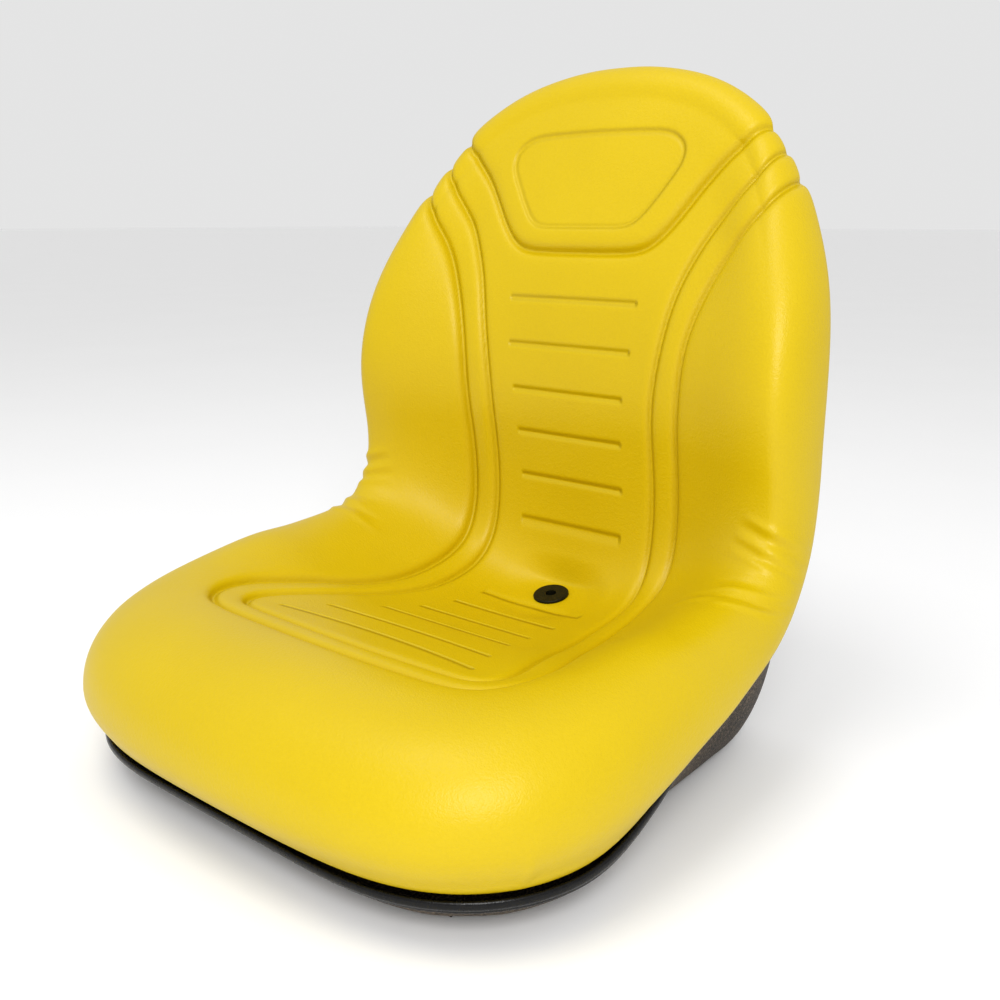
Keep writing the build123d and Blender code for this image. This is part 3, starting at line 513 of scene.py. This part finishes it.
class Socket:
    """A value in a material, worked out with plain arithmetic."""

    def __init__(self, tree, output):
        self.tree = tree
        self.output = output

    def _math(self, operation, *values):
        node = self.tree.nodes.new("ShaderNodeMath")
        node.operation = operation
        for place, value in zip(node.inputs, values):
            if isinstance(value, Socket):
                self.tree.links.new(value.output, place)
            else:
                place.default_value = value
        return Socket(self.tree, node.outputs[0])

    def __add__(self, other):
        return self._math("ADD", self, other)

    __radd__ = __add__

    def __sub__(self, other):
        return self._math("SUBTRACT", self, other)

    def __rsub__(self, other):
        return self._math("SUBTRACT", other, self)

    def __mul__(self, other):
        return self._math("MULTIPLY", self, other)

    __rmul__ = __mul__

    def __truediv__(self, other):
        return self._math("DIVIDE", self, other)

    def made(self, operation, *values):
        """Any other sum: this value first, then the others."""
        return self._math(operation, self, *values)


def finish(name, roughness, metallic=0.0):
    """A new material: its tree, its shader and its Object coordinates."""
    material = bpy.data.materials.new(name)
    material.use_nodes = True
    tree = material.node_tree
    shader = tree.nodes["Principled BSDF"]
    shader.inputs["Roughness"].default_value = roughness
    shader.inputs["Metallic"].default_value = metallic
    place = tree.nodes.new("ShaderNodeTexCoord").outputs["Object"]
    return material, tree, shader, place


def texture(tree, place, kind, scale, detail=2.0, output=0):
    """A pattern on Object coordinates, with its scale in features per metre."""
    node = tree.nodes.new(kind)
    tree.links.new(place, node.inputs["Vector"])
    node.inputs["Scale"].default_value = scale
    if "Detail" in node.inputs:
        node.inputs["Detail"].default_value = detail
    return Socket(tree, node.outputs[output])


def tint(tree, shader, by, colours):
    """Base colour run between colours by a value."""
    ramp = tree.nodes.new("ShaderNodeValToRGB")
    ramp.color_ramp.elements[0].color = (*colours[0], 1)
    ramp.color_ramp.elements[1].color = (*colours[-1], 1)
    tree.links.new(by.output, ramp.inputs["Fac"])
    tree.links.new(ramp.outputs["Color"], shader.inputs["Base Color"])
    return ramp


def relief(tree, shader, height, distance, strength=1.0):
    """Bump from a height in units of distance."""
    bump = tree.nodes.new("ShaderNodeBump")
    bump.inputs["Distance"].default_value = distance
    bump.inputs["Strength"].default_value = strength
    tree.links.new(height.output, bump.inputs["Height"])
    tree.links.new(bump.outputs["Normal"], shader.inputs["Normal"])


# ---- cushion: vinyl skin ----
# Calendered vinyl with a fine leather grain, semi-gloss, formed over the foam.
# Creases and pressed grooves are in the skin itself, a millimetre or so deep, and painted
# shade darkens the base colour along them.

vinyl, tree, shader, place = finish("yellow_vinyl", 0.36)


def carried(name):
    """A value that the cushion's net carries."""
    node = tree.nodes.new("ShaderNodeAttribute")
    node.attribute_name = name
    return Socket(tree, node.outputs["Fac"])


def dent(gap, width):
    """A dent along a line, 1 at the line and nothing a few widths away."""
    scaled = gap / width
    return (scaled * scaled * -1.0).made("EXPONENT")


crease = (dent(carried("inner_gap"), 0.0024) + dent(carried("outer_gap"), 0.0026)
          + dent(carried("head_gap"), 0.0026) + 1.1 * dent(carried("panel_gap"), 0.0024))
phase = carried("groove_phase")
from_groove = (phase - (phase + 0.5).made("FLOOR")) * groove_pitch
groove_fade = (carried("groove_end") / -0.003).made("MAXIMUM", 0.0).made("MINIMUM", 1.0)
groove = dent(from_groove, 0.0027) * groove_fade
cells = texture(tree, place, "ShaderNodeTexVoronoi", 780, 0, "Distance")
fine = texture(tree, place, "ShaderNodeTexNoise", 1500, 3, "Fac")
pores = texture(tree, place, "ShaderNodeTexNoise", 420, 2, "Fac")
broad = texture(tree, place, "ShaderNodeTexNoise", 7, 3, "Fac")
grain = cells * 0.07 + fine * 0.06 + pores * 0.16
relief(tree, shader, grain - crease * 1.0 - groove * 1.5 + broad * 0.3, 0.0014)
# base colour: a random tone from the noise, with painted shade darkening it along the creases
# and pressed grooves
tone_and_crease_shade = (broad * 0.5 + pores * 0.25 - crease * 0.13 - groove * 0.10 + 0.2)
tint(tree, shader, tone_and_crease_shade.made("MAXIMUM", 0.0), ((0.50, 0.355, 0.0), (0.66, 0.485, 0.0)))
rough = pores * 0.12 + broad * 0.08 + 0.30
tree.links.new(rough.output, shader.inputs["Roughness"])
shader.inputs["Specular IOR Level"].default_value = 0.42
cushion.data.materials.clear()
cushion.data.materials.append(vinyl)
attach(cushion, "seat")
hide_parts("vinyl_cover", "foam_cushion")

# ---- edge trim ----
# A black extruded rubber channel pushed over the rim of the pan. A round bead
# presses against the vinyl and a thinner lip below it grips the steel.

trim_around = 256
trim_section = 20
bead = 0.0031
lip = 0.0020
lip_drop = 0.0044
trim_lean = np.interp(
    np.arange(len(loop_rows)), (0, 2, 3.5, 7, 17, 18, 20, 22, 28),
    (0.54, 0.54, 0.40, 0.25, 0.25, 0.5, 0.74, 0.95, 0.95))

share = np.arange(trim_around) / trim_around
around = np.interp(share * loop_along[-1], loop_along, np.arange(loop_steps + 1))
rim = at_place(rim_loop, around)
row_at = around / steps_per_row
row_at = np.minimum(row_at, 2 * (len(loop_rows) - 1) - row_at)
lean = np.interp(row_at, np.arange(len(loop_rows)), trim_lean)
inward = -(at_place(side_loop, around) - at_place(crest_loop, around))[:, :2]
inward = inward / np.linalg.norm(inward, axis=1, keepdims=True)
wall = rim + 0.01 * np.stack(
    [inward[:, 0] * lean, inward[:, 1] * lean, np.sqrt(1 - lean ** 2)], axis=1)
rim_3d = bend_place(*rim.T)
down = bend_place(*wall.T) - rim_3d
along = np.roll(rim_3d, -1, axis=0) - np.roll(rim_3d, 1, axis=0)
along /= np.linalg.norm(along, axis=1, keepdims=True)
down -= along * np.sum(down * along, axis=1, keepdims=True)
down /= np.linalg.norm(down, axis=1, keepdims=True)
out = np.cross(along, down)
out /= np.linalg.norm(out, axis=1, keepdims=True)
if np.sum(out[0] * (0, -1, 0)) < 0:
    out = -out

bpy.ops.object.select_all(action="DESELECT")
bpy.ops.mesh.primitive_torus_add(
    major_segments=trim_around, minor_segments=trim_section,
    major_radius=0.2, minor_radius=0.003)
trim = bpy.context.object
trim.name = "edge_trim_bead"
trim.data.name = "edge_trim_bead"
angle = np.arange(trim_section) / trim_section * 2 * math.pi
profile_out = np.cos(angle) * bead
profile_down = np.sin(angle) * (bead + lip_drop / 2) + lip_drop / 2 - 0.0005
pinch = np.exp(-((profile_down - 0.0032) / 0.0011) ** 2)
taper = np.where(profile_down > 0.0032, lip / bead + 0.25, 1.0)
profile_out = profile_out * taper * (1 - 0.38 * pinch)
bead_out = np.interp(row_at, (10, 15), (0.0026, 0.0008))
trim_points = (rim_3d[:, None]
               + out[:, None] * (profile_out[None, :] + bead_out[:, None])[..., None]
               + down[:, None] * profile_down[None, :, None])
trim.data.vertices.foreach_set("co", trim_points.ravel())
bpy.ops.object.mode_set(mode="EDIT")
bpy.ops.mesh.select_all(action="SELECT")
bpy.ops.mesh.normals_make_consistent(inside=False)
bpy.ops.object.mode_set(mode="OBJECT")
rounding = trim.modifiers.new("rounding", "SUBSURF")
rounding.levels = 1
rounding.render_levels = 1
bpy.ops.object.modifier_apply(modifier="rounding")
bpy.ops.object.shade_smooth()

trim_rubber, tree, shader, place = finish("black_trim", 0.24)
scuff = texture(tree, place, "ShaderNodeTexNoise", 160, 4, "Fac")
fine = texture(tree, place, "ShaderNodeTexNoise", 900, 2, "Fac")
tint(tree, shader, scuff, ((0.002, 0.002, 0.002), (0.010, 0.010, 0.011)))
shader.inputs["Specular IOR Level"].default_value = 0.32
relief(tree, shader, fine * 0.25 + scuff * 0.3, 0.0006)
rough = scuff * 0.22 + 0.16
tree.links.new(rough.output, shader.inputs["Roughness"])
trim.data.materials.clear()
trim.data.materials.append(trim_rubber)
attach(trim, "seat")
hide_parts("edge_trim")

# ---- seat pan and mounting plates ----
# Pressed steel with a baked, slightly rough dark coating, speckled at random
# with lighter warm grains.


def wear(node_name, material):
    """Give a CAD node a finish in place of its plain one."""
    body = bpy.data.objects[node_name]
    if not body.material_slots:
        body.data.materials.append(material)
    for place_in in body.material_slots:
        place_in.material = material


coating, tree, shader, place = finish("dark_coating", 0.55)
speck = texture(tree, place, "ShaderNodeTexNoise", 620, 4, "Fac")
flake = texture(tree, place, "ShaderNodeTexVoronoi", 520, 0, "Distance")
cloud = texture(tree, place, "ShaderNodeTexNoise", 14, 3, "Fac")
speckle = ((speck * 1.6 + flake * 0.5 - 0.72) + (cloud - 0.5) * 0.5)
ramp = tint(tree, shader, speckle, ((0.008, 0.006, 0.004), (0.26, 0.20, 0.14)))
shader.inputs["Specular IOR Level"].default_value = 0.18
ramp.color_ramp.elements[0].position = 0.2
ramp.color_ramp.elements[1].position = 0.85
relief(tree, shader, speck * 0.6 + flake * 0.4, 0.0005)
rough = speck * 0.25 + 0.42
tree.links.new(rough.output, shader.inputs["Roughness"])
wear("seat_pan", coating)
wear("mounting_plates", coating)

# ---- weld nuts ----
# Plain steel nuts, zinc plated and lightly yellowed.

zinc, tree, shader, place = finish("zinc_plate", 0.34, 0.95)
cloud = texture(tree, place, "ShaderNodeTexNoise", 260, 3, "Fac")
tint(tree, shader, cloud, ((0.52, 0.49, 0.40), (0.74, 0.72, 0.66)))
relief(tree, shader, cloud, 0.0002)
wear("weld_nuts", zinc)

# ---- drain grommet and tube ----
# Soft moulded rubber, pushed into the cushion from above, over a plain tube.

rubber, tree, shader, place = finish("drain_rubber", 0.48)
bloom = texture(tree, place, "ShaderNodeTexNoise", 210, 4, "Fac")
fine = texture(tree, place, "ShaderNodeTexNoise", 1200, 2, "Fac")
tint(tree, shader, bloom, ((0.003, 0.003, 0.001), (0.020, 0.019, 0.008)))
shader.inputs["Specular IOR Level"].default_value = 0.22
relief(tree, shader, fine, 0.0003)
wear("drain_grommet", rubber)
wear("drain_tube", rubber)
wear("switch_seal", rubber)

# ---- operator presence switch ----
# A moulded body screwed into the boss of the pan with its ring nut, a white
# nylon plunger on a wire spring, brass blades and a bridging contact.

moulding, tree, shader, place = finish("black_moulding", 0.42)
cloud = texture(tree, place, "ShaderNodeTexNoise", 900, 3, "Fac")
tint(tree, shader, cloud, ((0.018, 0.018, 0.019), (0.042, 0.042, 0.044)))
relief(tree, shader, cloud, 0.0002)
for name in ("switch_body", "switch_nut", "switch_puck"):
    wear(name, moulding)

nylon, tree, shader, place = finish("white_nylon", 0.40)
cloud = texture(tree, place, "ShaderNodeTexNoise", 420, 3, "Fac")
tint(tree, shader, cloud, ((0.66, 0.63, 0.55), (0.80, 0.78, 0.72)))
relief(tree, shader, cloud, 0.0001)
wear("switch_plunger", nylon)

brass, tree, shader, place = finish("spring_brass", 0.28, 1.0)
cloud = texture(tree, place, "ShaderNodeTexNoise", 500, 3, "Fac")
tint(tree, shader, cloud, ((0.60, 0.42, 0.16), (0.80, 0.62, 0.30)))
relief(tree, shader, cloud, 0.0001)
wear("switch_contact", brass)
wear("switch_terminals", brass)

wire, tree, shader, place = finish("spring_wire", 0.22, 1.0)
cloud = texture(tree, place, "ShaderNodeTexNoise", 900, 2, "Fac")
tint(tree, shader, cloud, ((0.45, 0.45, 0.46), (0.66, 0.66, 0.67)))
relief(tree, shader, cloud, 0.0001)
wear("switch_spring", wire)

# the spring is given a mesh of its own
spring = bpy.data.objects["switch_spring"]
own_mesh(spring)

# ---- floor, light and camera ----
# A plain pale floor that runs off out of sight, one soft light in front and to
# one side, and a broader, weaker one overhead.

bpy.ops.object.select_all(action="DESELECT")
bpy.ops.mesh.primitive_plane_add(size=90, location=(0, 0, cad_low[2] - 0.0004))
floor = bpy.context.object
floor.name = "floor"
pale, tree, shader, place = finish("pale_floor", 0.9)
cloud = texture(tree, place, "ShaderNodeTexNoise", 3, 2, "Fac")
tint(tree, shader, cloud, ((0.95, 0.95, 0.95), (0.97, 0.97, 0.97)))
shader.inputs["Specular IOR Level"].default_value = 0.1
floor.data.materials.append(pale)

world = bpy.data.worlds.new("studio")
bpy.context.scene.world = world
world.use_nodes = True
world.node_tree.nodes["Background"].inputs["Color"].default_value = (1, 1, 1, 1)
world.node_tree.nodes["Background"].inputs["Strength"].default_value = 0.70


def soft_light(name, place_at, aim, width, height, power):
    """A square studio softbox."""
    data = bpy.data.lights.new(name, "AREA")
    data.shape = "RECTANGLE"
    data.size = width
    data.size_y = height
    data.energy = power
    light = bpy.data.objects.new(name, data)
    bpy.context.scene.collection.objects.link(light)
    light.location = place_at
    light.rotation_euler = (Vector(aim) - Vector(place_at)).to_track_quat("-Z", "Y").to_euler()


soft_light("key", (1.25, -1.3, 1.35), (0, 0, 0.2), 0.8, 0.8, 21)
soft_light("overhead", (-0.1, -0.7, 2.2), (0, 0, 0.2), 1.1, 0.8, 10)

lens = bpy.data.cameras.new("camera")
lens.sensor_width = 36
lens.lens = 39.6
camera = bpy.data.objects.new("camera", lens)
bpy.context.scene.collection.objects.link(camera)
view_right = Vector((0.7674, 0.6412, 0.0))
view_back = Vector((0.6211, -0.7434, 0.2479))
view_up = view_back.cross(view_right)
turn_to = Matrix((view_right, view_up, view_back)).transposed()
camera.location = (0.588, -0.612, 0.4377)
camera.rotation_euler = turn_to.to_euler()
bpy.context.scene.camera = camera
bpy.context.scene.view_settings.view_transform = "Standard"
bpy.context.scene.view_settings.look = "Medium High Contrast"
bpy.context.scene.view_settings.exposure = -0.08
